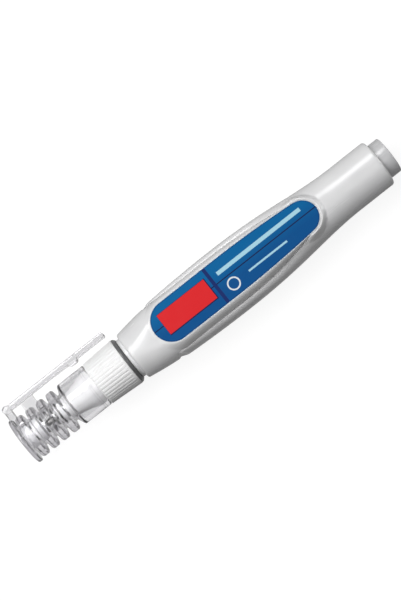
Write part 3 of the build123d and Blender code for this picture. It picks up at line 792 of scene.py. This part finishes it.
# %% [markdown]
# ## Clear plastic
# The cap is clear, so its look is the light bent through it. Glass could be faked with a see-through alpha, but
# then the fins would have no edges. The shader lets light through at the index of moulded polystyrene. Lamps
# can't shine through bent light in a path tracer without much noise, so for their shadow rays alone the cap
# is plainly transparent. Thick places take up more light than thin walls, and a faint haze and fine scuffs keep
# the cap from looking like cut crystal.

# %% Cap plastic
def clear_plastic(name):
    """Clear moulding: full transmission, roughness from slow haze and fine scuffs, lamps let through. In each
    millimetre the plastic takes up about 4 per cent of the light."""
    material, tree, shader, place = finish(name)
    haze = between(tree, noise(tree, place, 140), 0.35, 0.75, 0.03, 0.06)
    scuffs = between(tree, noise(tree, place, 1800, 4, (0.15, 1, 1)), 0.66, 0.74, 0, 0.12)
    tint = between(tree, noise(tree, place, 60), 0.3, 0.7)
    dress(tree, shader, {"Roughness": sums(tree, "ADD", haze, scuffs), "Transmission Weight": 1, "IOR": 1.5,
                         "Base Color": blended(tree, tint, (0.78, 0.78, 0.785, 1), (0.83, 0.83, 0.835, 1))})
    bumped(tree, shader, noise(tree, place, 500, 2), 0.1, 0.00002)
    lamps = node(tree, "LightPath").outputs["Is Shadow Ray"]
    bare = node(tree, "BsdfTransparent", {"Color": (0.92, 0.92, 0.925, 1)}).outputs[0]
    mixed = node(tree, "MixShader", {0: lamps, 1: shader.outputs[0], 2: bare}).outputs[0]
    depth = node(tree, "VolumeAbsorption", {"Color": (0.1, 0.07, 0.14, 1), "Density": 42.0}).outputs[0]
    dress(tree, tree.nodes["Material Output"], {"Surface": mixed, "Volume": depth})
    return material


coat(cap, clear_plastic("clear_moulded"))

# %% [markdown]
# ## Metals
# The tip is turned on a lathe, so it carries fine rings across the axis: a noise squeezed along the pen gives
# them to the bump and to the roughness. The needle is drawn wire with lines along its length, the spring's wire
# has an even grain, and the ball is polished with a few pits.

# %% Metals
def worked_metal(name, dark, light, rough, scale, stretch, depth):
    """Metal with tool marks: one stretched noise drives colour, roughness and bump."""
    material, tree, shader, place = finish(name)
    marks = between(tree, noise(tree, place, scale, 4, stretch), 0.25, 0.75)
    dress(tree, shader, {"Base Color": blended(tree, marks, dark, light), "Metallic": 1,
                         "Roughness": between(tree, marks, 0, 1, rough + 0.08, rough - 0.04)})
    bumped(tree, shader, marks, 0.3, depth)
    return material


# The tip's nickel silver is coloured much darker than the metal is: painted shade standing in for its dark
# reflections inside the cap.
coat(tip, worked_metal("turned_nickel_silver_painted_dark", (0.26, 0.26, 0.255, 1), (0.44, 0.435, 0.425, 1), 0.12, 900,
                       (9, 1, 1), 0.00001))
coat(spring, worked_metal("spring_wire", grey(0.42), grey(0.58, 1.03), 0.28, 3000, (1, 1, 1), 0.000006))
needle_steel = worked_metal("drawn_steel", grey(0.5), grey(0.66), 0.22, 2500, (0.1, 1, 1), 0.000006)
ball_steel = worked_metal("polished_steel", grey(0.62, 1.02), grey(0.72, 1.03), 0.08, 400, (1, 1, 1), 0.000003)

# %% [markdown]
# ## Printed film
# The label is printed in flat inks: a red block with a dark edge, a white ring, two pale stripes and thin dark
# rules on a blue field. The blue is painted lighter towards the lamp's side, as painted shade with a little random
# tone. Along the label's edge a pale line is a painted highlight, and just inside it a darker band is painted
# shade. An image could hold the print, but the part travels without images, so each shape is a distance: below
# zero is inside the shape, and a narrow ramp at zero gives the ink a clean edge. The painted highlight and shade
# at the edge read the distance from the edge that the film's points keep.

# %% Print
def inside(tree, distance, soft=0.05):
    """1 where a distance in millimetres is below zero, 0 where it is above, with a narrow ramp between."""
    return between(tree, distance, -soft, soft, 1, 0)


def block(tree, x, y, middle, half):
    """Distance from a rectangle: the larger of |x - middle| - half width and |y - middle| - half height."""
    across = [sums(tree, "SUBTRACT", sums(tree, "ABSOLUTE", sums(tree, "SUBTRACT", v, m)), h)
              for v, m, h in zip((x, y), middle, half)]
    return sums(tree, "MAXIMUM", *across)


def hoop(tree, x, y, middle, radius, stroke):
    """Distance from a ring: | distance from its middle - radius | - half the stroke."""
    squares = [sums(tree, "POWER", sums(tree, "SUBTRACT", v, m), 2) for v, m in zip((x, y), middle)]
    away = sums(tree, "SQRT", sums(tree, "ADD", *squares))
    return sums(tree, "SUBTRACT", sums(tree, "ABSOLUTE", sums(tree, "SUBTRACT", away, radius)), stroke / 2)


def printed(name, inks):
    """Gloss film: blue painted lighter towards the lamp's side as painted shade, then shapes of ink over it in
    order, then painted shade just inside the edge and a pale painted highlight along it.
    """
    material, tree, shader, place = finish(name)
    parts = node(tree, "SeparateXYZ", {0: place}).outputs
    x, y = sums(tree, "DIVIDE", parts[0], MM), sums(tree, "DIVIDE", parts[1], MM)
    # The blue is painted lighter towards the lamp's side and darker towards the far flank: painted shade, with a
    # little random tone.
    painted_shade_and_tone = between(tree, sums(tree, "ADD", y, noise(tree, place, 120)), -1.5, 4)
    ink = blended(tree, painted_shade_and_tone, (0.004, 0.086, 0.28, 1), (0.003, 0.132, 0.355, 1))
    for shape, sizes, colour in inks:
        ink = blended(tree, inside(tree, shape(tree, x, y, *sizes)), ink, colour)
    # Just inside the edge the blue is darkened as painted shade, and at the very edge a pale line is a painted
    # highlight.
    edge = node(tree, "Attribute", attribute_name="inset").outputs["Fac"]
    ink = blended(tree, between(tree, edge, 0.25, 0.5, 0.6, 0), ink, (0.004, 0.04, 0.16, 1))
    ink = blended(tree, between(tree, edge, 0.06, 0.1, 1, 0), ink, (0.55, 0.68, 0.76, 1))
    speckle = between(tree, noise(tree, place, 6000, 2), 0.2, 0.8, 0, 0.12)
    rough = between(tree, noise(tree, place, 300, 3), 0.3, 0.7, 0.12, 0.17)
    ink = blended(tree, speckle, ink, (0.02, 0.03, 0.06, 1))
    dress(tree, shader, {"Base Color": ink, "Roughness": rough, "Specular IOR Level": 0.3})
    bumped(tree, shader, noise(tree, place, 900, 2), 0.08, 0.00002)
    return material


navy, dusk, red = (0.01, 0.012, 0.06, 1), (0.012, 0.03, 0.15, 1), (0.76, 0.024, 0.027, 1)
white, pale = (0.8, 0.84, 0.86, 1), (0.42, 0.70, 0.82, 1)
coat(front_film, printed("front_print", [
    (block, ((0, 0.15), (40, 0.16)), navy), (block, ((-7.45, 0), (0.55, 10)), dusk),
    (block, ((-17.9, 0.25), (9.0, 3.75)), navy), (block, ((-18.0, 0.35), (8.8, 3.5)), red),
    (hoop, ((-2.75, -2.85), 1.85, 0.45), white),
    (block, ((10.6, 2.5), (15.6, 0.62)), pale), (block, ((10.2, -2.7), (7.2, 0.3)), pale)]))
coat(back_film, printed("back_print", [
    (block, ((0, 0), (40, 0.16)), navy),
    (block, ((0, 2.4), (19, 0.45)), pale), (block, ((0, -2.4), (19, 0.45)), pale)]))

# %% [markdown]
# ## Hidden pieces keep their solids
# The seal, the needle with its plunger, the spring's seat, the gasket and the ball are already the right shape
# as solids. They only get their finish.

# %% Finishes of the solids
solids = {"cap_inner_seal": seal_plastic, "valve_needle": needle_steel, "needle_plunger": plunger_plastic,
          "spring_seat": plunger_plastic, "neck_gasket": gasket_rubber, "mixing_ball": ball_steel}
for name, material in solids.items():
    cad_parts[name].data.materials.clear()
    coat(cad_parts[name], material)

# %% [markdown]
# ## Camera
# The picture looks almost straight down on the pen, a little from the side away from the clip, with the pen
# turned by 38 degrees. Instead of turning the pen, the camera's own right and up are turned. Its lens follows
# from its distance and the scale, 3.325 pixels to a millimetre in a frame 601 pixels high.

# %% Camera
pixels_high, pixels_per_mm, distance, sensor = 601, 3.325, 650.0, 36
pen_at, frame_at = (206.6, 298.3), (200.5, 300.5)
turn, lean = np.radians(38.24), np.radians(8.3)
along = np.array([1, 0, 0])
back = np.array([0, -np.sin(lean), np.cos(lean)])
across = np.cross(back, along)
right = along * np.cos(turn) - across * np.sin(turn)
up = along * np.sin(turn) + across * np.cos(turn)
middle = np.array([(cap_end + plug_end) / 2, 0, axis_z])
aim = middle - (right * (pen_at[0] - frame_at[0]) + up * (frame_at[1] - pen_at[1])) / pixels_per_mm
lens = bpy.data.cameras.new("camera")
lens.sensor_width = sensor
lens.lens = sensor * distance * pixels_per_mm / pixels_high
lens.clip_start, lens.clip_end = 0.01, 20
camera = put("camera", lens)
pose = np.eye(4)
pose[:3, :3] = np.stack([right, up, back], axis=-1)
pose[:3, 3] = (aim + back * distance) * MM
camera.matrix_world = Matrix(pose.tolist())
bpy.context.scene.camera = camera
print("lens", round(lens.lens, 1), "mm")

# %% [markdown]
# ## Floor and light
# The pen lies on a white sweep under one large soft lamp on the clip's side, so the far flank falls into shade.
# The sheet looks white to the camera and through the clear cap, but it throws little light back up, as if dark
# card stood round it. A weak second lamp fills in from the other side, and a third stands low behind the tail.

# %% Floor
def looked_at(tree, clear, gloss):
    """1 for rays from the camera, clear for rays through the cap and gloss for reflections, as long as the light
    path has not yet met a dull surface."""
    path = node(tree, "LightPath").outputs
    through = sums(tree, "MAXIMUM", sums(tree, "MULTIPLY", path["Is Transmission Ray"], clear),
                   sums(tree, "MULTIPLY", path["Is Glossy Ray"], gloss))
    first = sums(tree, "SUBTRACT", 1, sums(tree, "MINIMUM", path["Diffuse Depth"], 1))
    return sums(tree, "MAXIMUM", path["Is Camera Ray"], sums(tree, "MULTIPLY", through, first))


def sheet_finish():
    """Sheet of paper: plain diffuse for light that bounces, and brighter where it is looked at."""
    material, tree = finish("studio_sheet")[:2]
    seen = looked_at(tree, 1.0, 0.4)
    glow = node(tree, "Emission", {"Color": (1, 1, 1, 1), "Strength": 0.88}).outputs[0]
    paper = node(tree, "BsdfDiffuse", {"Color": (0.18, 0.18, 0.18, 1)}).outputs[0]
    dull = node(tree, "BsdfDiffuse", {"Color": (0.08, 0.08, 0.08, 1)}).outputs[0]
    bright = node(tree, "AddShader", {0: glow, 1: paper}).outputs[0]
    shown = node(tree, "MixShader", {0: seen, 1: dull, 2: bright}).outputs[0]
    dress(tree, tree.nodes["Material Output"], {"Surface": shown})
    return material


sheet_half, sheet_drop = 1.5, 0.00005
corners = np.array([[-1, -1], [1, -1], [1, 1], [-1, 1]]) * sheet_half
sheet = bpy.data.meshes.new("studio_sheet")
sheet.from_pydata(np.column_stack([corners, np.full(4, -sheet_drop)]).tolist(), [], [[0, 1, 2, 3]])
sheet.materials.append(sheet_finish())
floor = put("studio_sheet", sheet)
print("sheet", 2 * sheet_half, "m wide")


# %% Lamps and world
lit_point = Vector((-0.012, 0, 0.009))


def softbox(name, tilt, swing, reach, size, watts):
    """A rectangular lamp that looks at the pen from tilt degrees off the zenith, towards +Y, swung along X."""
    lamp = bpy.data.lights.new(name, "AREA")
    lamp.shape, lamp.size, lamp.size_y, lamp.energy = "RECTANGLE", size[0], size[1], watts
    placed = put(name, lamp)
    a, b = np.radians(tilt), np.radians(swing)
    away = Vector((np.sin(b), np.sin(a) * np.cos(b), np.cos(a) * np.cos(b)))
    placed.location = away * reach + lit_point
    placed.rotation_euler = away.to_track_quat("Z", "Y").to_euler()
    print(name, watts, "W")


softbox("key_lamp", 22, -15, 0.55, (0.9, 0.2), 3.65)
softbox("fill_lamp", -16, -10, 0.8, (0.6, 0.4), 1.0)
softbox("end_lamp", 0, 78, 0.8, (0.4, 0.4), 1.7)
world = bpy.data.worlds.new("studio")
world.use_nodes = True
sky = world.node_tree
dress(sky, sky.nodes["Background"], {"Color": (1, 1, 1, 1),
                                     "Strength": between(sky, looked_at(sky, 0.12, 0.1), 0, 1, 0.045, 1)})
bpy.context.scene.world = world
bpy.context.scene.view_settings.view_transform = "Standard"
